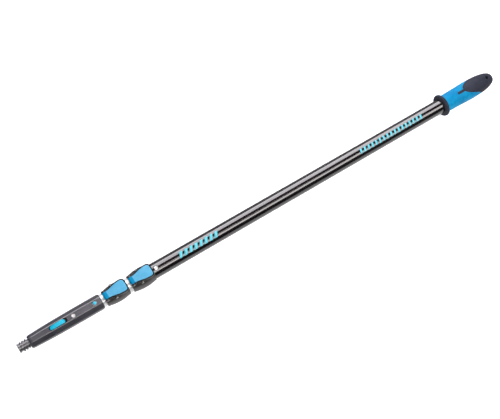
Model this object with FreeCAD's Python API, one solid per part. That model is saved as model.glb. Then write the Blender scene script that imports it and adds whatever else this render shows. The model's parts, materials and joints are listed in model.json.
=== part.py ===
"""Three-section telescopic pole for window cleaning, shown closed.

A black outer tube carries the hand grip and holds two bright tubes that slide out of its front end. Each sliding
tube is held by a split collar with a flip lever: a cam on the lever presses a brake shoe onto the tube. The
innermost tube ends in an eight-sided tip with a threaded stub, a sprung latch for push-on tools, and a sprung
button that holds the tip on its tube.

Sizes are in millimetres. The shapes are drawn along the pole's own axis: x runs from the end of the thread (0)
to the end of the grip, y is sideways and z points to the side that the levers are on. place() then moves them
to the part's frame: origin at the middle of the pole's length, on the surface that it lies on, with +X towards
the grip and +Z up.
"""

import FreeCAD
import Part

import math
import os

# ---------------------------------------------------------------- driving dimensions
POLE_LENGTH = 1108.0
TRAVEL = 646.0  # of each sliding tube: 1108 + 2 x 646 = 2400 fully out

TUBE_WALL = 1.0
TUBE_GAP = 0.3  # radial gap between one tube and the next
RUNNING_FIT = 0.06  # radial play where one piece guides another
OUTER_R = 15.0
MIDDLE_R = OUTER_R - TUBE_WALL - TUBE_GAP
INNER_R = MIDDLE_R - TUBE_WALL - TUBE_GAP

# places along the pole, from the end of the thread
SHOULDER_X = 21.5  # front face of the tip's body
TIP_END_X = 165.4
SMALL_CLAMP_X = 172.2
LARGE_CLAMP_X = 225.6
GUARD_X = 967.0
INNER_TUBE_FRONT_X = 101.0
INNER_TUBE_REAR_X = 985.0
MIDDLE_TUBE_REAR_X = 1026.0
OUTER_TUBE_REAR_X = 1066.0

# tip
THREAD_R = 9.525  # 3/4 inch, 5 turns to the inch
THREAD_PITCH = 5.08
THREAD_ROOT_R = 7.4
THREAD_CREST_WIDTH = 2.2
THREAD_ROOT_WIDTH = 3.4
THREAD_FROM_X = 4.9
THREAD_TO_X = 18.7
PILOT_R = 8.5
PILOT_LENGTH = 2.8
SEAT_RECESS_R = 9.75  # relief in the shoulder, so that a socket seats clear of the thread
SEAT_RECESS_DEPTH = 0.8
TIP_CORNER_R = 2.2
TIP_SECTIONS = [  # place along the pole, distance across flats
    (SHOULDER_X, 21.6),
    (23.2, 23.0),
    (26.6, 24.2),
    (52.0, 26.2),
    (80.0, 27.5),
    (120.0, 28.1),
    (160.8, 28.2),
    (163.0, 27.8),
    (164.6, 26.9),
    (TIP_END_X, 25.7),
]
LATCH_SLOT_X = (61.0, 97.0)
LATCH_SLOT_HALF_WIDTH = 4.9
LATCH_SLOT_FLOOR_Z = 1.0
LATCH_X = (62.6, 92.6)
LATCH_HALF_WIDTH = 3.8
LATCH_CROWN_Z = 16.4
LATCH_PIVOT = (67.5, 6.2)  # x, z
LATCH_PIN_R = 1.25
LATCH_SPRING_X = 85.0
LATCH_UNDERSIDE_Z = 8.5
SIGHT_HOLE_X = 109.0
SIGHT_HOLE_R = 3.75
BUTTON_X = 152.0
BUTTON_R = 3.0
BUTTON_HOLE_R = 4.2

# lever clamps, measured from each clamp's own front face
CLAMP_LENGTH = 46.2
CLAMP_SECTIONS = [  # x, how far the section's radius is over the held tube's, height of its centre
    (-4.0, 0.8, 0.0),
    (4.0, 1.7, 0.2),
    (11.0, 3.0, 0.6),
    (19.0, 4.0, 1.2),
    (27.0, 4.2, 1.8),
    (33.0, 3.8, 2.0),
    (39.0, 2.8, 1.6),
    (CLAMP_LENGTH, 1.7, 0.6),
]
CLAMP_FRONT_SLOPE = 0.075  # the front face leans forward towards the lever's hinge
CLAMP_FLAT_Z = 2.0  # flat along the underside, below the held tube
CLAMP_EDGE_R = 1.0
TUBE_SEAT_X = 16.5  # where the held tube's front end stops
LEVER_PIN_X = 2.4
LEVER_PIN_LIFT = 6.6  # height of the lever's pin above the sliding tube
LEVER_PIN_R = 1.5
KNUCKLE_R = 3.9
CAM_R = 3.3
CAM_OFFSET = 1.4
HUB_HALF_WIDTH = 7.2
EAR_GAP = 0.3
EAR_THICKNESS = 2.4
EAR_R = 3.7
LEVER_FRONT_X = 8.4
LEVER_REAR_X = 44.8
LEVER_POLES = [  # control points of the lever's outline from above: x, half width
    (LEVER_FRONT_X, 9.2),
    (14.0, 9.7),
    (21.0, 12.0),
    (30.0, 13.2),
    (38.5, 13.7),
    (44.2, 11.2),
    (LEVER_REAR_X, 5.0),
    (LEVER_REAR_X, 0.0),
]
LEVER_RISE = [  # control points of its back from the side: x, height over the knuckle
    (LEVER_PIN_X, 0.0),
    (9.0, 0.0),
    (20.0, 2.5),
    (33.0, 3.7),
    (41.0, 3.5),
    (LEVER_REAR_X + 1.0, 2.2),
]
LEVER_CLEARANCE = 0.4
LEVER_RIM = 2.3  # black frame round the blue inlay
LEVER_WALL = 2.0
LEVER_EDGE_R = 0.9
POCKET_FLOOR_LIFT = 1.7  # floor of the lever's pocket above the held tube
INLAY_NOSE_HALF = 6.7
INLAY_PROUD = 0.4
INLAY_DEPTH = 0.9
SHOE_X = (-0.2, 7.0)
SHOE_HALF_WIDTH = 6.0
SHOE_PLAY = 0.2  # between the shoe and its window
SHOE_GAP = 0.05  # under the closed cam
BOLT_X = 19.0
BOLT_LIFT = 2.1  # height of the bolt above the held tube
BOLT_R = 1.5
BOLT_HEAD_R = 2.75
BOLT_HEAD_HEIGHT = 1.8
BOLT_HEAD_Y = -11.7  # where the head bears
BOLT_NUT_Y = 12.6  # where the nut bears
BOLT_BOSS_R = 3.9
BOLT_RECESS_R = 3.5
BOLT_ROOM_R = 4.3  # arch in the lever's skirt round the bolt and its boss
NUT_THICKNESS = 2.6
HEX_KEY = 2.5  # across flats

# grip
GUARD_R = 23.5
GUARD_THICKNESS = 6.4
GUARD_EDGE_R = 2.9
GRIP_X = GUARD_X + GUARD_THICKNESS
GRIP_POLES = [  # control points of the grip's outline: place along the pole, half width
    (GRIP_X, 18.4),
    (990.0, 18.6),
    (1015.0, 19.2),
    (1042.0, 20.4),
    (1070.0, 19.4),
    (1088.0, 17.2),
    (1101.5, 12.9),
    (POLE_LENGTH, 7.4),
    (POLE_LENGTH, 0.0),
]
GRIP_HEIGHT_RATIO = 0.93  # height of the grip over its width
GRIP_STATIONS = 13
GRIP_END_SHARE = 0.98  # the last few millimetres end in a small flat
CAP_EDGE = [  # the cap's front edge from the side: place along the pole, height
    (1006.0, 24.0),
    (1024.0, 18.1),
    (1036.0, 14.6),
    (1050.0, 10.0),
    (1058.3, 6.2),
    (1064.5, 0.0),
    (1069.0, -5.7),
    (1077.0, -24.0),
]
CAP_TURN = -5.0  # degrees about the pole's axis
CAP_TAB_REAR_X = 1032.0
CAP_TAB_X = 1007.5
CAP_TAB_HALF_WIDTH = 2.9
HANG_HOLE_X = 1089.0
HANG_HOLE_R = 4.0
CORE_SKIN = 3.0  # rubber over the core

X = FreeCAD.Vector(1, 0, 0)
Y = FreeCAD.Vector(0, 1, 0)
Z = FreeCAD.Vector(0, 0, 1)
FAR = 60.0


# ---------------------------------------------------------------- small helpers
def at(x, y, z):
    return FreeCAD.Vector(x, y, z)


def rod(radius, x0, x1):
    return Part.makeCylinder(radius, x1 - x0, at(x0, 0, 0), X)


def pipe(outer, inner, x0, x1):
    return rod(outer, x0, x1).cut(rod(inner, x0 - 1, x1 + 1))


def cross_rod(radius, y0, y1, x, z):
    return Part.makeCylinder(radius, y1 - y0, at(x, y0, z), Y)


def post(radius, z0, z1, x):
    return Part.makeCylinder(radius, z1 - z0, at(x, 0, z0), Z)


def block(x0, x1, half_y, z0, z1):
    return Part.makeBox(x1 - x0, 2 * half_y, z1 - z0, at(x0, -half_y, z0))


def loft(wires, ruled=False):
    return Part.makeLoft(wires, True, ruled)


def circle_wire(x, radius, centre_z):
    return Part.Wire(Part.Circle(at(x, 0, centre_z), X, radius).toShape())


def line(a, b):
    return Part.LineSegment(a, b).toShape()


def arc(a, middle, b):
    return Part.Arc(a, middle, b).toShape()


def side_plate(edges, half_y):
    """A plate from edges drawn in the y = 0 plane, grown both ways."""
    face = Part.Face(Part.Wire(edges))
    face.translate(at(0, -half_y, 0))
    return face.extrude(at(0, 2 * half_y, 0))


def top_plate(edges, z0, z1):
    """A plate from edges drawn in the z = 0 plane, from z0 up to z1."""
    face = Part.Face(Part.Wire(edges))
    face.translate(at(0, 0, z0))
    return face.extrude(at(0, 0, z1 - z0))


def rounded(shape, radius, wanted):
    """shape with a fillet on each edge that wanted() picks."""
    return shape.makeFillet(radius, [e for e in shape.Edges if wanted(e)])


def coil_spring(radius, wire_r, turns, x, z0, z1):
    """An open coil that stands on z0 and reaches z1."""
    height = z1 - z0 - 2 * wire_r
    helix = Part.makeHelix(height / turns, height, radius)
    ring = Part.Wire(Part.Circle(at(radius, 0, 0), Y, wire_r).toShape())
    spring = Part.Wire(helix).makePipeShell([ring], True, True)
    spring.translate(at(x, 0, z0 + wire_r))
    return spring


def place(shape):
    moved = shape.copy()
    moved.translate(at(-POLE_LENGTH / 2, 0, GUARD_R))
    return moved


def write(name, shape):
    """Writes one named piece, and stops if it isn't sound."""
    solids = shape.Solids
    if not solids or not all(s.isValid() and s.Volume > 0 for s in solids):
        raise SystemExit(f"{name} is not a valid solid")
    placed = place(solids[0] if len(solids) == 1 else Part.makeCompound(solids))
    placed.exportStep(f"parts/{name}.step")
    box = placed.BoundBox
    print(f"{name:22s} solids {len(solids)}  volume {placed.Volume:10.1f}  "
          f"x {box.XMin:8.1f} {box.XMax:8.1f}  z {box.ZMin:6.1f} {box.ZMax:6.1f}")


# ---------------------------------------------------------------- tubes and what stops them
def tube(radius, x0, x1, hole_x=None, hole_r=0.0):
    """A drawn aluminium tube, with a round hole through its top wall where one is asked for."""
    shape = pipe(radius, radius - TUBE_WALL, x0, x1)
    if hole_x is not None:
        shape = shape.cut(post(hole_r, 0, FAR, hole_x))
    return shape


def rear_bush(tube_r, tube_end_x):
    """Nylon bush in a sliding tube's rear end. Its head runs in the next tube."""
    head_r = tube_r + TUBE_GAP - RUNNING_FIT
    spigot_r = tube_r - TUBE_WALL
    head = rod(head_r, tube_end_x, tube_end_x + 8)
    head = rounded(head, 0.8, lambda e: e.BoundBox.XMax > tube_end_x + 7.9)
    spigot = rod(spigot_r, tube_end_x - 18, tube_end_x)
    bore = rod(spigot_r - 2.2, tube_end_x - 20, tube_end_x + 10)
    return head.fuse(spigot).cut(bore).removeSplitter()


def stop_ring(tube_r, clamp_x):
    """Thin band on a sliding tube that meets the clamp's inner shoulder when the tube is fully out."""
    front = clamp_x + TUBE_SEAT_X + TRAVEL
    return pipe(tube_r + TUBE_GAP - RUNNING_FIT, tube_r, front, front + 20)


# ---------------------------------------------------------------- lever clamp
def clamp_shell(held_r, grow=0.0):
    """The collar's outside before anything is cut, or the same form larger all round by grow."""
    return loft([circle_wire(x, held_r + over + grow, z) for x, over, z in CLAMP_SECTIONS])


def front_half_space():
    """What the collar's leaning front face cuts away."""
    tall = 2 * FAR
    corners = [at(-tall, 0, -tall), at(CLAMP_FRONT_SLOPE * tall, 0, -tall),
               at(-CLAMP_FRONT_SLOPE * tall, 0, tall), at(-tall, 0, tall)]
    return side_plate(Part.makePolygon(corners + corners[:1]).Edges, FAR)


def clamp_body(held_r, sliding_r):
    """Split collar with a pocket for the lever, two ears for its pin and a window for the brake shoe."""
    pin_z = sliding_r + LEVER_PIN_LIFT
    floor_z = held_r + POCKET_FLOOR_LIFT
    bolt_z = held_r + BOLT_LIFT
    below = block(-FAR, FAR, FAR, -FAR, -held_r - CLAMP_FLAT_Z)
    shell = clamp_shell(held_r).cut([below, front_half_space()])
    front_and_rear = [e for e in shell.Edges if e.BoundBox.XMax < 3 or e.BoundBox.XMin > CLAMP_LENGTH - 0.1]
    shell = shell.makeFillet(CLAMP_EDGE_R, front_and_rear)

    ear_half = HUB_HALF_WIDTH + EAR_GAP + EAR_THICKNESS
    ears = cross_rod(EAR_R, -ear_half, ear_half, LEVER_PIN_X, pin_z)
    ears = ears.fuse(block(LEVER_PIN_X - EAR_R, LEVER_PIN_X + EAR_R, ear_half, sliding_r - 2, pin_z))
    ears = rounded(ears.removeSplitter(), 0.8, lambda e: abs(e.BoundBox.YMax - e.BoundBox.YMin) < 0.01)
    bosses = cross_rod(BOLT_BOSS_R, BOLT_HEAD_Y, BOLT_NUT_Y, BOLT_X, bolt_z)
    body = shell.fuse([ears, bosses])

    hub_half = HUB_HALF_WIDTH + EAR_GAP
    hub_room = CAM_R + CAM_OFFSET + 0.3
    cuts = [
        lever_outline(-LEVER_CLEARANCE, floor_z, FAR),
        cross_rod(hub_room, -hub_half, hub_half, LEVER_PIN_X, pin_z),
        block(-FAR, LEVER_FRONT_X + 1, hub_half, pin_z, FAR),
        block(LEVER_PIN_X, LEVER_FRONT_X + 1, hub_half, floor_z, FAR),
        rod(sliding_r + RUNNING_FIT, -FAR, CLAMP_LENGTH + 1),
        rod(held_r, TUBE_SEAT_X, CLAMP_LENGTH + 1),
        block(SHOE_X[0] - SHOE_PLAY, SHOE_X[1] + SHOE_PLAY, SHOE_HALF_WIDTH + SHOE_PLAY, 0, FAR),
        block(10, CLAMP_LENGTH + 1, 1.0, 0, FAR),
        cross_rod(LEVER_PIN_R, -FAR, FAR, LEVER_PIN_X, pin_z),
        cross_rod(BOLT_R, -FAR, FAR, BOLT_X, bolt_z),
        cross_rod(BOLT_RECESS_R, BOLT_NUT_Y, FAR, BOLT_X, bolt_z),
        cross_rod(BOLT_RECESS_R, -FAR, BOLT_HEAD_Y, BOLT_X, bolt_z),
    ]
    return body.cut(cuts).removeSplitter()


def lever_outline(inset, z0, z1):
    """The lever's outline from above, smaller all round by inset: narrow at the hinge, broad and round at the rear."""
    front_x, rear_x = LEVER_FRONT_X + inset, LEVER_REAR_X - inset
    half = [at(min(max(x, front_x), rear_x), y - inset, 0) for x, y in LEVER_POLES[:-2]]
    half += [at(rear_x, LEVER_POLES[-2][1] - inset, 0), at(rear_x, 0, 0)]
    mirrored = [at(p.x, -p.y, 0) for p in half]
    sides = []
    for poles in (half, mirrored):
        curve = Part.BSplineCurve()
        curve.buildFromPoles(poles)
        sides.append(curve.toShape())
    return top_plate(Part.__sortEdges__(sides + [line(mirrored[0], half[0])]), z0, z1)


def lever_side(radius, pin_z, bottom_z):
    """Side view of the lever's skin at a given distance from its pin: a knuckle that runs into a rising back."""
    top = pin_z + radius
    back = Part.BSplineCurve()
    back.buildFromPoles([at(x, 0, top + rise) for x, rise in LEVER_RISE])
    rear = at(LEVER_RISE[-1][0], 0, top + LEVER_RISE[-1][1])
    under = at(LEVER_PIN_X, 0, pin_z - radius)
    edges = [
        arc(at(LEVER_PIN_X, 0, top), at(LEVER_PIN_X - radius, 0, pin_z), under),
        back.toShape(),
        line(rear, at(rear.x, 0, bottom_z)),
        line(at(rear.x, 0, bottom_z), at(LEVER_FRONT_X, 0, bottom_z)),
        line(at(LEVER_FRONT_X, 0, bottom_z), under),
    ]
    return side_plate(Part.__sortEdges__(edges), 20)


def clamp_lever(held_r, sliding_r):
    """Flip lever: a hollow tongue that hugs the collar, with a cam at its front end."""
    pin_z = sliding_r + LEVER_PIN_LIFT
    floor_z = held_r + POCKET_FLOOR_LIFT + 0.3
    bottom_z = held_r - 3.0
    bolt_z = held_r + BOLT_LIFT
    side = lever_side(KNUCKLE_R, pin_z, bottom_z)
    tongue = side.common(lever_outline(0, bottom_z, FAR))
    tongue = rounded(tongue, LEVER_EDGE_R, lambda e: e.BoundBox.ZMin > pin_z + 2 and e.BoundBox.XMax > 20)
    knuckle = cross_rod(KNUCKLE_R, -HUB_HALF_WIDTH, HUB_HALF_WIDTH, LEVER_PIN_X, pin_z)
    neck = side.common(block(LEVER_PIN_X, LEVER_FRONT_X + 4, HUB_HALF_WIDTH, floor_z, FAR))
    cam = cross_rod(CAM_R, -HUB_HALF_WIDTH, HUB_HALF_WIDTH, LEVER_PIN_X, pin_z - CAM_OFFSET)
    lever = tongue.fuse([knuckle, neck, cam])
    under_back = lever_side(KNUCKLE_R - 2.7, pin_z, -FAR)
    hollow = lever_outline(LEVER_WALL, -FAR, FAR).common(under_back)
    hollow = hollow.common(block(LEVER_FRONT_X + 3, FAR, FAR, -FAR, FAR))
    in_pocket = lever_outline(-1, -FAR, floor_z).common(block(-FAR, FAR, FAR, -FAR, floor_z))
    cuts = [
        clamp_shell(held_r, LEVER_CLEARANCE).common(block(LEVER_FRONT_X + 6, FAR, FAR, -FAR, floor_z)),
        in_pocket.common(block(-FAR, LEVER_FRONT_X + 7, FAR, -FAR, floor_z)),
        hollow,
        inlay_shape(sliding_r, 0.04),
        cross_rod(LEVER_PIN_R + 0.05, -20, 20, LEVER_PIN_X, pin_z),
        block(BOLT_X - BOLT_ROOM_R, BOLT_X + BOLT_ROOM_R, 20, -FAR, bolt_z),
        cross_rod(BOLT_ROOM_R, -20, 20, BOLT_X, bolt_z),
    ]
    return lever.cut(cuts).removeSplitter()


def inlay_shape(sliding_r, grow):
    """Soft pad set into the lever's back and over its knuckle."""
    pin_z = sliding_r + LEVER_PIN_LIFT
    outer = lever_side(KNUCKLE_R + INLAY_PROUD, pin_z, -FAR)
    skin = outer.cut(lever_side(KNUCKLE_R - INLAY_DEPTH - grow, pin_z, -FAR - 1))
    nose = block(-FAR, LEVER_FRONT_X + 3.0, INLAY_NOSE_HALF + grow, 0, FAR)
    plan = lever_outline(LEVER_RIM - grow, 0, FAR).fuse(nose).removeSplitter()
    return skin.common(plan).common(block(-FAR, FAR, 20, pin_z - 1.2 - grow, FAR))


def lever_inlay(sliding_r):
    pad = inlay_shape(sliding_r, 0.0).removeSplitter()
    return max(pad.Solids, key=lambda solid: solid.Volume)


def brake_shoe(sliding_r):
    top_z = sliding_r + LEVER_PIN_LIFT - CAM_R - CAM_OFFSET - SHOE_GAP
    return block(*SHOE_X, SHOE_HALF_WIDTH, 0, top_z).cut(rod(sliding_r + RUNNING_FIT, -FAR, FAR))


def lever_pin(sliding_r):
    """Steel pin with a low head outside each ear."""
    pin_z = sliding_r + LEVER_PIN_LIFT
    ear_half = HUB_HALF_WIDTH + EAR_GAP + EAR_THICKNESS
    heads = [cross_rod(2.1, y, y + 0.7, LEVER_PIN_X, pin_z) for y in (-ear_half - 0.7, ear_half)]
    return cross_rod(LEVER_PIN_R, -ear_half, ear_half, LEVER_PIN_X, pin_z).fuse(heads).removeSplitter()


def hexagon(across_flats, y0, y1, z):
    """A six-sided prism across the collar, centred on the bolt's line."""
    corner = across_flats / 2 / math.cos(math.radians(30))
    turns = [math.radians(60 * k) for k in range(7)]
    points = [at(BOLT_X + corner * math.cos(t), y0, z + corner * math.sin(t)) for t in turns]
    return Part.Face(Part.makePolygon(points)).extrude(at(0, y1 - y0, 0))


def clamp_bolt(held_r):
    """Button-head bolt across the collar's slit."""
    z = held_r + BOLT_LIFT
    top_y = BOLT_HEAD_Y - BOLT_HEAD_HEIGHT
    head = cross_rod(BOLT_HEAD_R, top_y, BOLT_HEAD_Y, BOLT_X, z)
    head = rounded(head, 0.9, lambda e: e.BoundBox.YMax < top_y + 0.1)
    socket = hexagon(HEX_KEY, top_y - 0.2, top_y + 1.2, z)
    shank = cross_rod(BOLT_R, BOLT_HEAD_Y, BOLT_NUT_Y + NUT_THICKNESS + 0.8, BOLT_X, z)
    return head.fuse(shank).cut(socket).removeSplitter()


def clamp_nut(held_r):
    z = held_r + BOLT_LIFT
    nut = hexagon(2 * BOLT_HEAD_R, BOLT_NUT_Y, BOLT_NUT_Y + NUT_THICKNESS, z)
    return nut.cut(cross_rod(BOLT_R, 0, FAR, BOLT_X, z))


def write_clamp(size, front_x, held_r, sliding_r):
    """Writes one clamp's pieces, with size in their names."""
    pieces = {
        f"{size}_clamp_body": clamp_body(held_r, sliding_r),
        f"{size}_clamp_lever": clamp_lever(held_r, sliding_r),
        f"{size}_lever_inlay": lever_inlay(sliding_r),
        f"{size}_lever_pin": lever_pin(sliding_r),
        f"{size}_brake_shoe": brake_shoe(sliding_r),
        f"{size}_clamp_bolt": clamp_bolt(held_r),
        f"{size}_clamp_nut": clamp_nut(held_r),
    }
    for name, shape in pieces.items():
        shape.translate(at(front_x, 0, 0))
        write(name, shape)


# ---------------------------------------------------------------- tip
def octagon_wire(x, across_flats):
    """An eight-sided section with rounded corners and one flat facing up."""
    edges = []
    flat_half = across_flats / 2 * math.tan(math.radians(22.5)) - TIP_CORNER_R * math.tan(math.radians(22.5))
    for k in range(8):
        turn = math.radians(45 * k)
        nxt = math.radians(45 * (k + 1))
        half = math.radians(45 * k + 22.5)

        def point(angle, out, along):
            return at(x, out * math.sin(angle) + along * math.cos(angle),
                      out * math.cos(angle) - along * math.sin(angle))

        flat = across_flats / 2
        corner = (flat - TIP_CORNER_R) / math.cos(math.radians(22.5)) + TIP_CORNER_R
        a, b = point(turn, flat, -flat_half), point(turn, flat, flat_half)
        c = at(x, corner * math.sin(half), corner * math.cos(half))
        d = point(nxt, flat, -flat_half)
        edges += [line(a, b), arc(b, c, d)]
    return Part.Wire(edges)


def thread_stub():
    """Core, pilot and helical ridge of the threaded end."""
    core = rod(THREAD_ROOT_R, 0.5, SHOULDER_X + 2)
    pilot = rounded(rod(PILOT_R, 0, PILOT_LENGTH), 0.5, lambda e: e.BoundBox.XMax < 0.1)
    height = THREAD_TO_X - THREAD_FROM_X
    helix = Part.makeHelix(THREAD_PITCH, height, THREAD_R)
    inside = THREAD_ROOT_R - 0.4
    crest, root = THREAD_CREST_WIDTH / 2, THREAD_ROOT_WIDTH / 2
    corners = [at(inside, 0, -root), at(THREAD_R, 0, -crest), at(THREAD_R, 0, crest), at(inside, 0, root)]
    profile = Part.makePolygon(corners + corners[:1])
    ridge = Part.Wire(helix).makePipeShell([profile], True, True)
    ridge.rotate(at(0, 0, 0), Y, 90)
    ridge.translate(at(THREAD_FROM_X, 0, 0))
    return core.fuse([pilot, ridge])


def tip_body():
    """Eight-sided tapered tip with its threaded stub, latch slot, sight hole and button hole."""
    body = loft([octagon_wire(x, flats) for x, flats in TIP_SECTIONS], ruled=True)
    recess = rod(SEAT_RECESS_R, SHOULDER_X - 1, SHOULDER_X + SEAT_RECESS_DEPTH)
    x0, x1 = LATCH_SLOT_X
    r = LATCH_SLOT_HALF_WIDTH
    slot = block(x0 + r, x1 - r, r, LATCH_SLOT_FLOOR_Z, FAR)
    slot = slot.fuse([post(r, LATCH_SLOT_FLOOR_Z, FAR, x0 + r), post(r, LATCH_SLOT_FLOOR_Z, FAR, x1 - r)])
    socket = rod(INNER_R, INNER_TUBE_FRONT_X - 0.5, TIP_END_X + 1)
    cuts = [
        recess,
        slot.removeSplitter(),
        socket,
        post(SIGHT_HOLE_R, 0, FAR, SIGHT_HOLE_X),
        post(BUTTON_HOLE_R, 0, FAR, BUTTON_X),
        cross_rod(LATCH_PIN_R, -FAR, FAR, *LATCH_PIVOT),
    ]
    body = body.cut(cuts)
    return body.fuse(thread_stub()).removeSplitter()


def tip_latch():
    """Sprung rocker in the tip's slot, hinged at its front. Its rear end goes down when it is pressed."""
    px, pz = LATCH_PIVOT
    nose, tail = LATCH_X
    under = LATCH_UNDERSIDE_Z
    back = Part.BSplineCurve()
    back.buildFromPoles([at(nose, 0, 12.2), at(nose + 2, 0, 13.8), at(nose + 11, 0, LATCH_CROWN_Z),
                         at(tail - 8, 0, LATCH_CROWN_Z + 0.4), at(tail - 1.0, 0, LATCH_CROWN_Z - 1.0),
                         at(tail, 0, 10.8)])
    edges = [
        line(at(nose, 0, pz - 2.6), at(nose, 0, 12.2)),
        back.toShape(),
        line(at(tail, 0, 10.8), at(tail, 0, under)),
        line(at(tail, 0, under), at(px + 6, 0, under)),
        line(at(px + 6, 0, under), at(px + 2.6, 0, pz - 2.6)),
        line(at(px + 2.6, 0, pz - 2.6), at(nose, 0, pz - 2.6)),
    ]
    half = LATCH_HALF_WIDTH
    plan = block(nose + half, tail - half, half, 0, 30)
    plan = plan.fuse([post(half, 0, 30, nose + half), post(half, 0, 30, tail - half)]).removeSplitter()
    rocker = side_plate(edges, half + 1).common(plan)
    rocker = rounded(rocker, 0.8, lambda e: e.BoundBox.ZMin > 10.5 and e.BoundBox.XLength > 2)
    return rocker.cut(cross_rod(LATCH_PIN_R + 0.05, -10, 10, px, pz))


def latch_pin():
    """Plain steel pin, cut to end just inside the tip's slanting faces."""
    return cross_rod(LATCH_PIN_R, -11.9, 11.9, *LATCH_PIVOT)


def snap_button():
    """Domed button on a flange that stays inside the inner tube."""
    top = 14.1
    dome = Part.makeSphere(6.2, at(BUTTON_X, 0, top + 0.85 - 6.2)).common(post(BUTTON_R, 9, 20, BUTTON_X))
    flange = post(4.7, 7.9, 9.5, BUTTON_X)
    return dome.fuse([post(BUTTON_R, 7.9, top - 0.4, BUTTON_X), flange]).removeSplitter()


def button_spring():
    """Folded steel strip inside the inner tube that pushes the button out."""
    thick = 0.6
    fold_x = 122.0
    upper = [at(159.0, 0, 7.85), at(fold_x + 1, 0, 1.0), at(fold_x - 0.8, 0, 0.0), at(fold_x + 1, 0, -1.0),
             at(160.5, 0, -10.8)]
    inner = [at(160.5, 0, -10.8 + thick), at(fold_x + 1.4, 0, -0.4), at(fold_x + 0.4, 0, 0.0),
             at(fold_x + 1.4, 0, 0.4), at(159.0, 0, 7.85 - thick)]
    corners = upper + inner
    return side_plate(Part.makePolygon(corners + corners[:1]).Edges, 3.4)


# ---------------------------------------------------------------- grip
def grip_outline(inset):
    """Half width along the grip, as a curve that turns square to the axis at the rear end."""
    poles = [at(min(x, POLE_LENGTH - inset), max(r - inset, 0), 0) for x, r in GRIP_POLES]
    curve = Part.BSplineCurve()
    curve.buildFromPoles(poles)
    return curve


def grip_form(inset=0.0):
    """The grip's outside, or the same form smaller all round by inset. It is a little wider than it is high."""
    outline = grip_outline(inset)
    reach = GRIP_END_SHARE * (outline.LastParameter - outline.FirstParameter)
    wires = []
    for k in range(GRIP_STATIONS):
        point = outline.value(outline.FirstParameter + reach * k / (GRIP_STATIONS - 1))
        half_y = point.y
        half_z = half_y * GRIP_HEIGHT_RATIO
        wires.append(Part.Wire(Part.Ellipse(at(point.x, half_y, 0), at(point.x, 0, half_z),
                                            at(point.x, 0, 0)).toShape()))
    return loft(wires)


def cap_region():
    """Everything behind the cap's swept front edge, with the tab that runs forward along the top."""
    edge = Part.BSplineCurve()
    edge.interpolate([at(x, 0, z) for x, z in CAP_EDGE])
    top, bottom = at(CAP_EDGE[0][0], 0, CAP_EDGE[0][1]), at(CAP_EDGE[-1][0], 0, CAP_EDGE[-1][1])
    end = POLE_LENGTH + 30
    outline = [edge.toShape(), line(bottom, at(end, 0, bottom.z)), line(at(end, 0, bottom.z), at(end, 0, top.z)),
               line(at(end, 0, top.z), top)]
    region = side_plate(outline, FAR)
    region.rotate(at(0, 0, 0), X, CAP_TURN)
    tab = block(CAP_TAB_X, CAP_TAB_REAR_X, CAP_TAB_HALF_WIDTH, 0, FAR)
    return region.fuse(tab)


def hang_hole():
    return post(HANG_HOLE_R, -FAR, FAR, HANG_HOLE_X)


def grip_tail():
    """Core behind the tube's end, under the rubber."""
    return grip_form(CORE_SKIN).common(block(OUTER_TUBE_REAR_X, POLE_LENGTH, FAR, -FAR, FAR))


def grip_core():
    """Hard plug in the tube's rear end, with the body that the rubber is moulded over."""
    plug = rod(OUTER_R - TUBE_WALL, OUTER_TUBE_REAR_X - 24, OUTER_TUBE_REAR_X)
    bore = rod(9.0, OUTER_TUBE_REAR_X - 25, OUTER_TUBE_REAR_X + 8)
    return plug.fuse(grip_tail()).cut([bore, hang_hole()]).removeSplitter()


def grip_hollow():
    """What the rubber is moulded round."""
    return rod(OUTER_R, GUARD_X - 5, OUTER_TUBE_REAR_X).fuse(grip_tail())


def grip_sleeve():
    return grip_form().cut([grip_hollow(), cap_region()])


def grip_cap():
    return grip_form().common(cap_region()).cut([grip_hollow(), hang_hole()])


def grip_guard():
    """Fat rubber ring in front of the grip."""
    ring = rod(GUARD_R, GUARD_X, GUARD_X + GUARD_THICKNESS)
    ring = rounded(ring, GUARD_EDGE_R, lambda e: e.Length > 100)
    return ring.cut(rod(OUTER_R, GUARD_X - 5, GRIP_X + 5))


# ---------------------------------------------------------------- the whole pole
def main():
    os.makedirs("parts", exist_ok=True)
    small_seat = SMALL_CLAMP_X + TUBE_SEAT_X
    large_seat = LARGE_CLAMP_X + TUBE_SEAT_X
    large_hole_x = LARGE_CLAMP_X + CLAMP_LENGTH + 7.7

    write("outer_tube", tube(OUTER_R, large_seat, OUTER_TUBE_REAR_X, large_hole_x, 3.75))
    write("grip_core", grip_core())
    write("grip_sleeve", grip_sleeve())
    write("grip_cap", grip_cap())
    write("grip_guard", grip_guard())
    write_clamp("large", LARGE_CLAMP_X, OUTER_R, MIDDLE_R)

    write("middle_tube", tube(MIDDLE_R, small_seat, MIDDLE_TUBE_REAR_X))
    write("middle_rear_bush", rear_bush(MIDDLE_R, MIDDLE_TUBE_REAR_X))
    write("middle_stop_ring", stop_ring(MIDDLE_R, LARGE_CLAMP_X))
    write_clamp("small", SMALL_CLAMP_X, MIDDLE_R, INNER_R)

    write("inner_tube", tube(INNER_R, INNER_TUBE_FRONT_X, INNER_TUBE_REAR_X, BUTTON_X, BUTTON_R + 0.2))
    write("inner_rear_bush", rear_bush(INNER_R, INNER_TUBE_REAR_X))
    write("inner_stop_ring", stop_ring(INNER_R, SMALL_CLAMP_X))
    write("tip_body", tip_body())
    write("tip_latch", tip_latch())
    write("latch_pin", latch_pin())
    write("latch_spring", coil_spring(2.3, 0.35, 5, LATCH_SPRING_X, LATCH_SLOT_FLOOR_Z, LATCH_UNDERSIDE_Z))
    write("snap_button", snap_button())
    write("button_spring", button_spring())


main()
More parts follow.
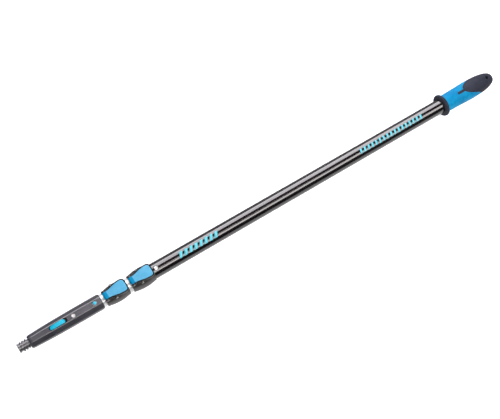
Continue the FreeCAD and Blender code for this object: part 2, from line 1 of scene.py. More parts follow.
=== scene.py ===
"""Looks for a telescopic window cleaning pole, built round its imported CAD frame.

The row frame is in metres: +X runs along the pole to its grip, and +Z is the side with the levers. Shapes are
given in millimetres, from the end of the thread and the pole's axis, and row() carries them into that frame.
"""

import json
import math

import bmesh
import bpy
from mathutils import Matrix, Vector


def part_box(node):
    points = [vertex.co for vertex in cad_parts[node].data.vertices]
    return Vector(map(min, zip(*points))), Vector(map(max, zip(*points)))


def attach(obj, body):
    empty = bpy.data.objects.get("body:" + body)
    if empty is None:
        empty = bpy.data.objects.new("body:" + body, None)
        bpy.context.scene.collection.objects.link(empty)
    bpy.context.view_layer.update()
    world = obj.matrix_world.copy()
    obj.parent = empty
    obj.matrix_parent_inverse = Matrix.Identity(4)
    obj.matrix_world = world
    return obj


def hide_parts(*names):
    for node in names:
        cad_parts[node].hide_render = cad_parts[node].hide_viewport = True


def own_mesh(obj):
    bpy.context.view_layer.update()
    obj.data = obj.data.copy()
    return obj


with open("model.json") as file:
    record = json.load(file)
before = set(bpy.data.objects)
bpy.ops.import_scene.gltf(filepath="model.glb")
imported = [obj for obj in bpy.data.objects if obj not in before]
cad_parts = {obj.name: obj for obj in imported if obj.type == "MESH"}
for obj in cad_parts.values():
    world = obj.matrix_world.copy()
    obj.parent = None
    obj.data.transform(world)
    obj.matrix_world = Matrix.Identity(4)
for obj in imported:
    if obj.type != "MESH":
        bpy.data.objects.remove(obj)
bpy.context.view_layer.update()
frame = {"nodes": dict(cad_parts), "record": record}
NODES = frame["nodes"]

MM = 0.001
AXIS_Z = (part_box("outer_tube")[0].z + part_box("outer_tube")[1].z) / 2
BARREL = next(mount for mount in frame["record"]["mounts"] if mount["name"] == "tube_barrel")
BARREL_R = BARREL["dims"]["r_mm"]


# ---------------------------------------------------------------- camera, floor and light
CAMERA_LENS = 62.8
CAMERA_DISTANCE = 1.674
CAMERA_TILT = math.radians(17.24)  # towards the threaded end
CAMERA_LEAN = math.radians(13.0)  # away from straight over the levers
CAMERA_ROLL = math.radians(29.83)
CAMERA_TARGET_X = -58.4 * MM
CAMERA_TARGET_SHIFT = 10.2 * MM

PANEL_REACH, PANEL_LENGTH, PANEL_MIDDLE_X = 1.8, 2.6, 0.45
WORLD_COLOUR, WORLD_STRENGTH = (0.93, 0.96, 1.0, 1), 0.9
FLOOR_HALF, FLOOR_SQUARES = 6, 12
CARD_REACH, CARD_LIFT = 3.0, 0.0004
LEFT_CARD_GLOW, RIGHT_CARD_GLOW = 0.02, 0.75


def camera_axes():
    """The directions right, up and towards the camera."""
    towards = Vector((-math.sin(CAMERA_TILT),
                      -math.cos(CAMERA_TILT) * math.sin(CAMERA_LEAN),
                      math.cos(CAMERA_TILT) * math.cos(CAMERA_LEAN)))
    across = Vector((0, math.cos(CAMERA_LEAN), math.sin(CAMERA_LEAN)))
    along = across.cross(towards)
    right = math.cos(CAMERA_ROLL) * along - math.sin(CAMERA_ROLL) * across
    up = math.sin(CAMERA_ROLL) * along + math.cos(CAMERA_ROLL) * across
    return right, up, towards, across


def add_camera():
    right, up, towards, across = camera_axes()
    target = Vector((CAMERA_TARGET_X, 0, AXIS_Z)) + CAMERA_TARGET_SHIFT * across
    data = bpy.data.cameras.new("camera")
    data.lens = CAMERA_LENS
    data.clip_end = 100
    camera = bpy.data.objects.new("camera", data)
    bpy.context.scene.collection.objects.link(camera)
    turn = Matrix((right, up, towards)).transposed().to_4x4()
    camera.matrix_world = Matrix.Translation(target + CAMERA_DISTANCE * towards) @ turn
    bpy.context.scene.camera = camera


def add_area_light(name, place, target, size, power, tint=(1, 1, 1), seen_in_gloss=True):
    """A rectangular lamp of size (width, length) at place, facing target, with its length along X."""
    data = bpy.data.lights.new(name, "AREA")
    data.color = tint
    data.shape = "RECTANGLE"
    data.size, data.size_y = size
    data.energy = power
    lamp = bpy.data.objects.new(name, data)
    bpy.context.scene.collection.objects.link(lamp)
    back = (Vector(place) - Vector(target)).normalized()
    length = Vector((1, 0, 0))
    width = length.cross(back).normalized()
    length = back.cross(width)
    turn = Matrix((width, length, back)).transposed().to_4x4()
    lamp.matrix_world = Matrix.Translation(Vector(place)) @ turn
    lamp.visible_glossy = seen_in_gloss


def add_panel(name, turn, width, power, tint):
    """A long softbox beside the pole, turn degrees from straight above it, towards +Y if positive."""
    turn = math.radians(turn)
    place = (PANEL_MIDDLE_X, PANEL_REACH * math.sin(turn), AXIS_Z + PANEL_REACH * math.cos(turn))
    add_area_light(name, place, (PANEL_MIDDLE_X, 0, AXIS_Z), (width, PANEL_LENGTH), power, tint)


def add_lights():
    add_panel("left_softbox", 51, 1.62, 52, (1.0, 0.96, 1.0))
    add_panel("right_softbox", -25, 0.9, 31, (1.0, 0.94, 0.93))
    add_area_light("overhead", (0.1, -0.2, 2.2), (0, 0, AXIS_Z), (2.2, 3.0), 20, seen_in_gloss=False)
    world = bpy.data.worlds.new("studio")
    bpy.context.scene.world = world
    world.use_nodes = True
    background = world.node_tree.nodes["Background"]
    background.inputs["Color"].default_value = WORLD_COLOUR
    background.inputs["Strength"].default_value = WORLD_STRENGTH
    world.cycles_visibility.glossy = False
    world.cycles_visibility.diffuse = False


def mesh_object(name, vertices, faces):
    data = bpy.data.meshes.new(name)
    data.from_pydata(vertices, [], faces)
    data.validate()
    data.shade_smooth()
    thing = bpy.data.objects.new(name, data)
    bpy.context.scene.collection.objects.link(thing)
    return thing


def grid_faces(rows, columns, rows_close=False, columns_close=False):
    """Squares between neighbouring points of a grid that is stored row by row."""
    return [(j * columns + k, j * columns + (k + 1) % columns,
             (j + 1) % rows * columns + (k + 1) % columns, (j + 1) % rows * columns + k)
            for j in range(rows if rows_close else rows - 1)
            for k in range(columns if columns_close else columns - 1)]


def flat_grid(name, x_range, y_range, z, steps):
    """A level sheet of (steps x steps) squares."""
    ticks = [k / steps for k in range(steps + 1)]
    vertices = [(x_range[0] + u * (x_range[1] - x_range[0]), y_range[0] + v * (y_range[1] - y_range[0]), z)
                for v in ticks for u in ticks]
    sheet = mesh_object(name, vertices, grid_faces(steps + 1, steps + 1))
    return sheet


def glow_material(name, strength):
    """A plain sheet of even light."""
    material = bpy.data.materials.new(name)
    material.use_nodes = True
    shader = material.node_tree.nodes["Principled BSDF"]
    shader.inputs["Base Color"].default_value = (0, 0, 0, 1)
    shader.inputs["Emission Color"].default_value = (1, 1, 1, 1)
    shader.inputs["Emission Strength"].default_value = strength
    return material


def add_floor():
    """A lit white table, and two cards over it that only reflections see."""
    floor = flat_grid("floor", (-FLOOR_HALF, FLOOR_HALF), (-FLOOR_HALF, FLOOR_HALF), 0, FLOOR_SQUARES)
    floor.data.materials.append(floor_material())
    floor.visible_glossy = False
    cards = (("left_card", (0.0, CARD_REACH), LEFT_CARD_GLOW),
             ("right_card", (-CARD_REACH, 0.0), RIGHT_CARD_GLOW))
    for name, y_range, strength in cards:
        card = flat_grid(name, (-CARD_REACH, CARD_REACH), y_range, CARD_LIFT, 2)
        card.data.materials.append(glow_material(name, strength))
        card.visible_camera = False
        card.visible_diffuse = False
        card.visible_transmission = False
        card.visible_shadow = False


# ---------------------------------------------------------------- materials
class Recipe:
    """A material under construction: a Principled shader and the nodes that feed it."""

    def __init__(self, name, **sockets):
        self.material = bpy.data.materials.new(name)
        self.material.use_nodes = True
        self.tree = self.material.node_tree
        self.shader = self.tree.nodes["Principled BSDF"]
        self.place = self.node("ShaderNodeTexCoord").outputs["Object"]
        for socket, value in sockets.items():
            self.set(socket.replace("_", " "), value)

    def set(self, socket, value):
        if isinstance(value, tuple) and len(value) == 3:
            value = (*value, 1)
        self.shader.inputs[socket].default_value = value

    def node(self, kind, **settings):
        made = self.tree.nodes.new(kind)
        for key, value in settings.items():
            setattr(made, key, value)
        return made

    def link(self, source, target):
        self.tree.links.new(source, target)

    def stretched(self, scale):
        """The object's own coordinates, in metres, scaled by (x, y, z)."""
        mapping = self.node("ShaderNodeMapping")
        mapping.inputs["Scale"].default_value = scale
        self.link(self.place, mapping.inputs["Vector"])
        return mapping.outputs["Vector"]

    def noise(self, scale, detail=4.0, roughness=0.55, stretch=(1, 1, 1)):
        made = self.node("ShaderNodeTexNoise")
        made.inputs["Scale"].default_value = scale
        made.inputs["Detail"].default_value = detail
        made.inputs["Roughness"].default_value = roughness
        self.link(self.stretched(stretch), made.inputs["Vector"])
        return made.outputs["Fac"]

    def cells(self, scale):
        made = self.node("ShaderNodeTexVoronoi")
        made.inputs["Scale"].default_value = scale
        self.link(self.stretched((1, 1, 1)), made.inputs["Vector"])
        return made.outputs["Distance"]

    def ramp(self, source, low, high, out_low=0.0, out_high=1.0):
        made = self.node("ShaderNodeMapRange")
        made.inputs["From Min"].default_value = low
        made.inputs["From Max"].default_value = high
        made.inputs["To Min"].default_value = out_low
        made.inputs["To Max"].default_value = out_high
        self.link(source, made.inputs["Value"])
        return made.outputs["Result"]

    def sum(self, first, second, operation="ADD"):
        made = self.node("ShaderNodeMath", operation=operation)
        for socket, value in zip(made.inputs, (first, second)):
            if isinstance(value, float):
                socket.default_value = value
            else:
                self.link(value, socket)
        return made.outputs[0]

    def mix(self, share, first, second):
        """A colour between first and second, each a colour or a node's output."""
        made = self.node("ShaderNodeMix", data_type="RGBA")
        self.link(share, made.inputs[0])
        for socket, value in ((made.inputs[6], first), (made.inputs[7], second)):
            if isinstance(value, tuple):
                socket.default_value = (*value, 1)
            else:
                self.link(value, socket)
        return made.outputs[2]

    def edges(self, radius):
        """1 on sharp edges, fading to 0 on flat stretches."""
        bevel = self.node("ShaderNodeBevel", samples=4)
        bevel.inputs["Radius"].default_value = radius
        geometry = self.node("ShaderNodeNewGeometry")
        dot = self.node("ShaderNodeVectorMath", operation="DOT_PRODUCT")
        self.link(bevel.outputs["Normal"], dot.inputs[0])
        self.link(geometry.outputs["Normal"], dot.inputs[1])
        return self.ramp(dot.outputs["Value"], 0.995, 0.88)

    def colour(self, source):
        self.link(source, self.shader.inputs["Base Color"])

    def roughness(self, source):
        self.link(source, self.shader.inputs["Roughness"])

    def bump(self, *layers):
        """Stacks (height, strength, depth in metres) layers into the shader's normal."""
        normal = None
        for height, strength, depth in layers:
            made = self.node("ShaderNodeBump")
            made.inputs["Strength"].default_value = strength
            made.inputs["Distance"].default_value = depth
            self.link(height, made.inputs["Height"])
            if normal is not None:
                self.link(normal, made.inputs["Normal"])
            normal = made.outputs["Normal"]
        self.link(normal, self.shader.inputs["Normal"])


def floor_material():
    m = Recipe("floor_paper", Specular_IOR_Level=0.2,
               Emission_Color=(0.98, 0.985, 1.0), Emission_Strength=0.55)
    grain = m.noise(120, 3)
    m.colour(m.mix(m.ramp(m.noise(1.5, 2), 0.3, 0.7), (0.88, 0.89, 0.91), (0.91, 0.915, 0.925)))
    m.roughness(m.ramp(grain, 0.3, 0.7, 0.75, 0.9))
    m.bump((grain, 0.05, 0.0002))
    return m.material


def black_tube_material():
    """Gloss black lacquer over drawn aluminium."""
    m = Recipe("black_lacquer", Specular_IOR_Level=1.0, Coat_Weight=1.0, Coat_IOR=1.6, Coat_Roughness=0.05)
    streaks = m.noise(900, 3, stretch=(0.02, 1, 1))
    clouds = m.noise(14, 4, stretch=(0.5, 1, 1))
    m.colour(m.mix(m.ramp(clouds, 0.35, 0.7), (0.004, 0.0035, 0.0042), (0.008, 0.007, 0.008)))
    m.roughness(m.sum(m.ramp(streaks, 0.3, 0.7, 0.0, 0.05), m.ramp(clouds, 0.3, 0.7, 0.12, 0.2)))
    m.bump((streaks, 0.05, 0.00004), (m.noise(260, 2), 0.03, 0.0001))
    return m.material


def print_material():
    """Pale cyan ink, printed on the lacquer and slightly rubbed."""
    m = Recipe("cyan_ink", Specular_IOR_Level=0.5)
    rub = m.noise(700, 4)
    m.colour(m.mix(m.ramp(rub, 0.3, 0.75), (0.14, 0.64, 0.76), (0.1, 0.56, 0.69)))
    m.roughness(m.ramp(rub, 0.3, 0.7, 0.3, 0.45))
    m.bump((rub, 0.08, 0.00004))
    return m.material


def bright_tube_material():
    """Satin anodised aluminium with fine lengthwise drawing lines."""
    m = Recipe("satin_aluminium", Metallic=0.45)
    lines = m.noise(2600, 3, stretch=(0.012, 1, 1))
    clouds = m.noise(30, 3)
    m.colour(m.mix(m.ramp(lines, 0.3, 0.7), (0.76, 0.78, 0.78), (0.86, 0.87, 0.87)))
    m.roughness(m.sum(m.ramp(lines, 0.3, 0.7, 0.0, 0.1), m.ramp(clouds, 0.3, 0.7, 0.24, 0.32)))
    m.bump((lines, 0.12, 0.00004))
    return m.material


def moulded_plastic(name, dark, light, worn, rough, gloss=0.5, ior=1.5):
    """Moulded plastic: fine spark-eroded grain, soft clouding and edges rubbed lighter."""
    m = Recipe(name, Specular_IOR_Level=gloss, IOR=ior)
    grain = m.noise(900, 3)
    clouds = m.noise(40, 4)
    edge = m.sum(m.edges(0.0006), m.ramp(m.noise(300, 3), 0.35, 0.65, 0.25, 1.0), "MULTIPLY")
    base = m.mix(m.ramp(clouds, 0.3, 0.7), dark, light)
    m.colour(m.mix(edge, base, worn))
    m.roughness(m.sum(m.ramp(grain, 0.3, 0.7, -0.05, 0.07),
                      m.ramp(clouds, 0.3, 0.7, rough - 0.03, rough + 0.05)))
    m.bump((grain, 0.18, 0.00008), (clouds, 0.05, 0.0003))
    return m.material


def soft_rubber(name, dark, light, worn, rough):
    """Soft-touch rubber: pebbled skin, cloudy colour and a slight sheen."""
    m = Recipe(name, Sheen_Weight=0.03, Sheen_Roughness=0.5, Specular_IOR_Level=0.12)
    pebbles = m.cells(1500)
    mottle = m.noise(110, 5, 0.65)
    clouds = m.noise(28, 3)
    base = m.mix(m.ramp(m.sum(clouds, mottle), 0.75, 1.25), dark, light)
    m.colour(m.mix(m.sum(m.edges(0.0008), 0.6, "MULTIPLY"), base, worn))
    m.roughness(m.ramp(mottle, 0.3, 0.7, rough - 0.06, rough + 0.08))
    m.bump((pebbles, 0.25, 0.00012), (mottle, 0.12, 0.0003))
    return m.material


def steel_material(name, tone, rough):
    """Turned or drawn steel."""
    m = Recipe(name, Metallic=1.0)
    lines = m.noise(1800, 3, stretch=(1, 0.05, 1))
    m.colour(m.mix(m.ramp(lines, 0.3, 0.7), tuple(0.8 * t for t in tone), tone))
    m.roughness(m.ramp(lines, 0.3, 0.7, rough - 0.06, rough + 0.1))
    m.bump((lines, 0.1, 0.00004))
    return m.material


def make_materials():
    return {
        "black_tube": black_tube_material(),
        "bright_tube": bright_tube_material(),
        "cyan_ink": print_material(),
        "nylon": moulded_plastic("natural_nylon", (0.62, 0.62, 0.58), (0.7, 0.7, 0.66),
                                 (0.75, 0.75, 0.72), 0.45),
        "brake_pad": moulded_plastic("brake_compound", (0.05, 0.05, 0.052), (0.08, 0.08, 0.08),
                                     (0.2, 0.2, 0.2), 0.6),
        "grip_blue": soft_rubber("blue_rubber", (0.0, 0.18, 0.4), (0.0, 0.29, 0.54), (0.005, 0.42, 0.7), 0.5),
        "grip_dark": soft_rubber("dark_rubber", (0.022, 0.025, 0.038), (0.034, 0.038, 0.056),
                                 (0.07, 0.07, 0.09), 0.5),
        "collar_black": moulded_plastic("collar_plastic", (0.018, 0.016, 0.014), (0.028, 0.026, 0.023),
                                        (0.12, 0.12, 0.12), 0.33, gloss=1.0, ior=1.7),
        "lever_black": moulded_plastic("lever_plastic", (0.006, 0.006, 0.008), (0.01, 0.01, 0.012),
                                       (0.06, 0.06, 0.06), 0.22),
        "lever_blue": soft_rubber("blue_inlay", (0.08, 0.36, 0.58), (0.13, 0.42, 0.64),
                                  (0.16, 0.6, 0.8), 0.35),
        # a darker copy of the inlay's blue: painted shade for the inlay's front end, where it rounds down over
        # the knuckle
        "nose_painted_shade": soft_rubber("blue_painted_shade_nose", (0.0, 0.21, 0.42), (0.0, 0.26, 0.5), (0.02, 0.36, 0.6), 0.35),
        "steel": steel_material("zinc_steel", (0.62, 0.62, 0.6), 0.3),
        "spring_steel": steel_material("spring_steel", (0.4, 0.4, 0.41), 0.28),
        "tip_grey": moulded_plastic("tip_plastic", (0.007, 0.008, 0.018), (0.012, 0.013, 0.026),
                                    (0.08, 0.08, 0.09), 0.36, gloss=1.0, ior=1.85),
        "button_blue": moulded_plastic("button_plastic", (0.01, 0.42, 0.62), (0.02, 0.5, 0.7),
                                       (0.2, 0.65, 0.8), 0.25),
    }


# ---------------------------------------------------------------- the CAD nodes
NO_EDGE_ROUND = {"latch_spring", "tip_body"}
EDGE_ROUND = {"clamp_body": 0.3, "clamp_lever": 0.25}  # mm, by the node's name after its first word
OTHER_EDGE_ROUND = 0.2
WELD_DISTANCE = 0.002  # mm
SHARP_TURN, MADE_SHARP_TURN = math.radians(35), math.radians(50)  # edges of CAD nodes, and of made pieces


def dress_frame(materials):
    """Gives every CAD node the material of its slot, and most of them a small round on their sharp edges."""
    for entry in frame["record"]["subparts"]:
        node = NODES[entry["node"]]
        node.data.materials.clear()
        node.data.materials.append(materials[entry["material_slot"]])
        if entry["node"] not in NO_EDGE_ROUND:
            round_edges(node, EDGE_ROUND.get(entry["node"].split("_", 1)[-1], OTHER_EDGE_ROUND))


def round_edges(node, width):
    """Shades a node smoothly, with a narrow bevel wherever two faces meet at a sharp turn."""
    for name in ("custom_normal", "sharp_edge", "sharp_face"):
        if name in node.data.attributes:
            node.data.attributes.remove(node.data.attributes[name])
    weld = node.modifiers.new("weld", "WELD")
    weld.merge_threshold = WELD_DISTANCE * MM
    bevel = node.modifiers.new("edge_round", "BEVEL")
    bevel.width = width * MM
    bevel.segments = 2
    bevel.limit_method = "ANGLE"
    bevel.angle_limit = SHARP_TURN
    bevel.harden_normals = True


# ---------------------------------------------------------------- curves in millimetres, along the pole
POLE_LENGTH = 1108.0


def row(x, y, z):
    """A point measured from the end of the thread and the pole's axis, in the row frame."""
    return Vector(((x - POLE_LENGTH / 2) * MM, y * MM, AXIS_Z + z * MM))


def b_spline(poles, steps):
    """Points on a clamped cubic B-spline with even knots."""
    n, p = len(poles), 3
    knots = [0] * (p + 1) + list(range(1, n - p)) + [n - p] * (p + 1)
    points = []
    for k in range(steps + 1):
        u = (n - p) * k / steps
        span = min(int(u), n - p - 1) + p
        work = [Vector(poles[j]) for j in range(span - p, span + 1)]
        for level in range(1, p + 1):
            for j in range(p, level - 1, -1):
                i = j + span - p
                a = (u - knots[i]) / (knots[i + p + 1 - level] - knots[i])
                work[j] = (1 - a) * work[j - 1] + a * work[j]
        points.append(work[p].copy())
    return points


def rounding(distance, radius):
    """How far a rounded edge of that radius has dropped, this far in from its lip."""
    share = 1 - min(max(distance / radius, 0), 1)
    return radius * (1 - math.sqrt(max(1 - share * share, 0)))


def face_outwards(thing):
    """Joins points that coincide and turns every face outwards."""
    work = bmesh.new()
    work.from_mesh(thing.data)
    bmesh.ops.remove_doubles(work, verts=work.verts, dist=WELD_DISTANCE * MM)
    bmesh.ops.recalc_face_normals(work, faces=work.faces)
    work.to_mesh(thing.data)
    work.free()


def finish_piece(thing, body, material, slot, *nodes):
    """Orients, shades and dresses a made piece, and lets it stand for its CAD nodes."""
    thing.data.materials.append(material)
    face_outwards(thing)
    thing.data.shade_smooth()
    thing.data.set_sharp_from_angle(angle=MADE_SHARP_TURN)
    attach(thing, body)
    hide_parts(*nodes)


# ---------------------------------------------------------------- grip
GUARD_X, GUARD_THICKNESS, GUARD_R, GUARD_EDGE_R, GUARD_BORE_R = 967.0, 6.4, 23.5, 2.9, 15.0
GRIP_X = GUARD_X + GUARD_THICKNESS
GRIP_POLES = [(GRIP_X, 18.4), (990, 18.6), (1015, 19.2), (1042, 20.4), (1070, 19.4), (1088, 17.2),
              (1101.5, 12.9), (POLE_LENGTH, 7.4), (POLE_LENGTH, 0.0)]
OUTLINE_STEPS, OUTLINE_STEP = 600, 0.004  # points on the outline, and the share used to find its slope
GRIP_HEIGHT_RATIO = 0.93
CAP_EDGE = [(1006.0, 24.0), (1024.0, 18.1), (1036.0, 14.6), (1050.0, 10.0), (1058.3, 6.2), (1064.5, 0.0),
            (1069.0, -5.7), (1077.0, -24.0)]  # x and height of the cap's front edge
CAP_TURN = math.radians(-5.0)
CAP_TAB_X = 1007.5
CAP_TAB_HALF_WIDTH = 2.9
HANG_HOLE_X, HANG_HOLE_R, HANG_HOLE_LIP_R = 1089.0, 3.95, 1.4
SLEEVE_LIP_R = 1.2
SEAM_R = 0.55  # rounded lips of the seam between the two rubbers
SEAM_STEP, SEAM_NEAR, SEAM_FAR = 0.5, 1.5, 9.0
JOIN_X = 1060.0  # where the sleeve's hidden rear end and the cap's hidden front end meet the axis
TAB_R, MEAN_R = 18.9, 19.0  # the grip's half width at the tab, and a mean one for distances round it
SLEEVE_ROWS, CAP_ROWS, HALF_TURNS = 70, 80, 84
TAB_SIDE_STEPS = (0, 0.02, 0.1, 0.22, 0.36, 0.55, 0.8, 1.2)  # distances from the tab's sides
LIP_STEPS = (0.0008, 0.002, 0.004, 0.007)  # shares of the outline, close to a lip
CAP_END_SHARE = 0.985  # the last ring of the cap, before its fan to the axis
DRILL_TURNS, DRILL_DEPTH = 64, 80


def cap_edge_x(height):
    """Where the cap's front edge is, at a height in the cap's own turned frame."""
    points = sorted((z, x) for x, z in CAP_EDGE)
    z = min(max(height, points[0][0]), points[-1][0])
    k = max(j for j in range(len(points) - 1) if points[j][0] <= z)
    (z0, x0), (z1, x1) = points[k], points[k + 1]

    def slope(j):
        a, b = points[max(j - 1, 0)], points[min(j + 1, len(points) - 1)]
        return (b[1] - a[1]) / (b[0] - a[0])

    h = z1 - z0
    t = (z - z0) / h
    return ((2 * t**3 - 3 * t**2 + 1) * x0 + (t**3 - 2 * t**2 + t) * h * slope(k)
            + (3 * t**2 - 2 * t**3) * x1 + (t**3 - t**2) * h * slope(k + 1))


def grip_angles():
    """Angles round the grip, close together where the tab's sides are."""
    side = CAP_TAB_HALF_WIDTH / TAB_R
    close = [d / TAB_R for d in TAB_SIDE_STEPS]
    right = sorted({side + d for d in close} | {side - d for d in close})
    right = [a for a in right if a > 0.01]
    last = right[-1]
    right += [last + (math.pi - last) * k / HALF_TURNS for k in range(1, HALF_TURNS)]
    return [0.0] + right + [math.pi] + [2 * math.pi - a for a in reversed(right)]


class Grip:
    """The grip's surface, by the share of the way along its outline and the angle from the top towards +Y."""

    def __init__(self):
        self.outline = [(p.x, p.y) for p in b_spline([(x, r, 0) for x, r in GRIP_POLES], OUTLINE_STEPS)]
        self.angles = grip_angles()
        tab = CAP_TAB_HALF_WIDTH / TAB_R + 0.0005  # a hair over, so that the tab's corners belong to it
        tab_share = self.share_at(CAP_TAB_X)
        self.seam = [tab_share if min(a, 2 * math.pi - a) <= tab else self.seam_share(a) for a in self.angles]
        self.seam_points = self.seam_line()

    def radius(self, share):
        """(x, half width) at a share of the way along the outline."""
        at = min(max(share, 0), 1) * (len(self.outline) - 1)
        k = min(int(at), len(self.outline) - 2)
        (x0, r0), (x1, r1) = self.outline[k], self.outline[k + 1]
        return x0 + (at - k) * (x1 - x0), r0 + (at - k) * (r1 - r0)

    def share_at(self, x):
        k = max((j for j in range(len(self.outline) - 1) if self.outline[j][0] <= x), default=0)
        (x0, _), (x1, _) = self.outline[k], self.outline[k + 1]
        return (k + (x - x0) / max(x1 - x0, 1e-9)) / (len(self.outline) - 1)

    def seam_share(self, angle):
        """How far along the seam is at this angle, found by halving."""
        low, high = 0.0, 1.0
        for _ in range(30):
            share = (low + high) / 2
            x, r = self.radius(share)
            y, z = r * math.sin(angle), r * GRIP_HEIGHT_RATIO * math.cos(angle)
            height = y * math.sin(-CAP_TURN) + z * math.cos(CAP_TURN)
            if x < cap_edge_x(height):
                low = share
            else:
                high = share
        return low

    def seam_line(self):
        """Points along the seam, laid out flat: x, and the distance round the grip."""
        corners = [(self.radius(share)[0], a) for share, a in zip(self.seam, self.angles)]
        corners.append((corners[0][0], corners[0][1] + 2 * math.pi))
        points = []
        for (x0, a0), (x1, a1) in zip(corners, corners[1:]):
            pieces = max(int(abs(x1 - x0) / SEAM_STEP), 1)
            points += [(x0 + (x1 - x0) * j / pieces, MEAN_R * (a0 + (a1 - a0) * j / pieces))
                       for j in range(pieces)]
        return points

    def seam_distance(self, share, angle):
        """How far a place is from the seam, or SEAM_FAR where it is well away."""
        x = self.radius(share)[0]
        best, half_way = SEAM_FAR, math.pi * MEAN_R
        for seam_x, seam_round in self.seam_points:
            if abs(seam_x - x) < SEAM_NEAR:
                across = (seam_round - MEAN_R * angle + half_way) % (2 * half_way) - half_way
                if abs(across) < SEAM_NEAR:
                    best = min(best, math.hypot(seam_x - x, across))
        return best

    def point(self, share, angle, drop):
        """A place on the surface, sunk by drop."""
        x, r = self.radius(share)
        ahead, behind = self.radius(share + OUTLINE_STEP), self.radius(share - OUTLINE_STEP)
        dx, dr = ahead[0] - behind[0], ahead[1] - behind[1]
        length = math.hypot(dx, dr) or 1
        x += drop * dr / length
        r = max(r - drop * dx / length, 0)
        return row(x, r * math.sin(angle), r * GRIP_HEIGHT_RATIO * math.cos(angle))

    def skin(self, starts, ends, count, dense_end, front_lip_r, front_x, rear_x):
        """A closed piece: the surface between two lines round the grip, and a fan to the axis at each end."""
        columns = [shares_between(starts[k], ends[k], count, dense_end) for k in range(len(self.angles))]
        tall = min(len(column) for column in columns)
        vertices = []
        for column, angle in zip(columns, self.angles):
            for share in column[:tall - 1] + column[-1:]:
                drop = rounding(self.seam_distance(share, angle), SEAM_R)
                if front_lip_r:
                    drop += rounding(self.radius(share)[0] - GRIP_X, front_lip_r)
                vertices.append(self.point(share, angle, drop))
        n = len(self.angles)
        faces = grid_faces(n, tall, rows_close=True)
        front, rear = len(vertices), len(vertices) + 1
        faces += [(k * tall, front, (k + 1) % n * tall) for k in range(n)]
        faces += [(k * tall + tall - 1, (k + 1) % n * tall + tall - 1, rear) for k in range(n)]
        return vertices + [row(front_x, 0, 0), row(rear_x, 0, 0)], faces


def shares_between(start, end, count, dense_end):
    """Shares from start to end, with extra ones close to the start, and to the end if asked for."""
    span = end - start
    near = [step / max(span, 0.02) for step in LIP_STEPS]
    shares = {k / count for k in range(count + 1)} | set(near)
    if dense_end:
        shares |= {1 - step for step in near}
    return [start + span * s for s in sorted(shares) if 0 <= s <= 1]


def add_sleeve(grip, materials):
    """The blue rubber, from the guard to the seam."""
    front = [0.0] * len(grip.angles)
    vertices, faces = grip.skin(front, grip.seam, count=SLEEVE_ROWS, dense_end=True,
                                front_lip_r=SLEEVE_LIP_R, front_x=GRIP_X, rear_x=JOIN_X)
    sleeve = mesh_object("blue_grip_skin", vertices, faces)
    finish_piece(sleeve, "outer_section", materials["grip_blue"], "grip_blue", "grip_sleeve")


def add_cap(grip, materials):
    """The dark rubber, from the seam to the rear end, with the hanging hole and its rounded mouths."""
    rear = [CAP_END_SHARE] * len(grip.angles)
    vertices, faces = grip.skin(grip.seam, rear, count=CAP_ROWS, dense_end=False,
                                front_lip_r=None, front_x=JOIN_X, rear_x=POLE_LENGTH)
    hole = row(HANG_HOLE_X, 0, 0)
    for v in vertices[:-2]:
        away = math.hypot(v.x - hole.x, v.y) / MM
        v.z -= math.copysign(rounding(away - HANG_HOLE_R, HANG_HOLE_LIP_R) * MM, v.z - AXIS_Z)
    cap = mesh_object("dark_cap_skin", vertices, faces)
    face_outwards(cap)
    drill_upright(cap, hole, HANG_HOLE_R * MM)
    finish_piece(cap, "outer_section", materials["grip_dark"], "grip_dark", "grip_cap")


def drill_upright(thing, place, radius):
    """Cuts a round hole straight down through a made piece."""
    bpy.ops.mesh.primitive_cylinder_add(vertices=DRILL_TURNS, radius=radius, depth=DRILL_DEPTH * MM,
                                        location=place)
    drill = bpy.context.object
    cut = thing.modifiers.new("hole", "BOOLEAN")
    cut.operation, cut.solver, cut.object = "DIFFERENCE", "EXACT", drill
    made = bpy.data.meshes.new_from_object(thing.evaluated_get(bpy.context.evaluated_depsgraph_get()))
    thing.modifiers.clear()
    thing.data = made
    bpy.data.objects.remove(drill)
    made.materials.clear()


GUARD_TURNS, GUARD_CORNER_STEPS, GUARD_FACE_STEPS = 160, 12, 10
GUARD_SEAT_R, GUARD_SEAT_DEPTH = 18.6, 0.8  # shallow seat in the rear face, where the sleeve ends
GUARD_REAR_HOLLOW, GUARD_FRONT_HOLLOW = 0.25, 0.3  # how far its faces sink
GUARD_LIP_R, GUARD_LIP_DEPTH, GUARD_LIP_STEPS = 0.6, 0.5, 8  # half round lip at the bore's front end
GUARD_GAP = 0.02  # between the bore and the tube


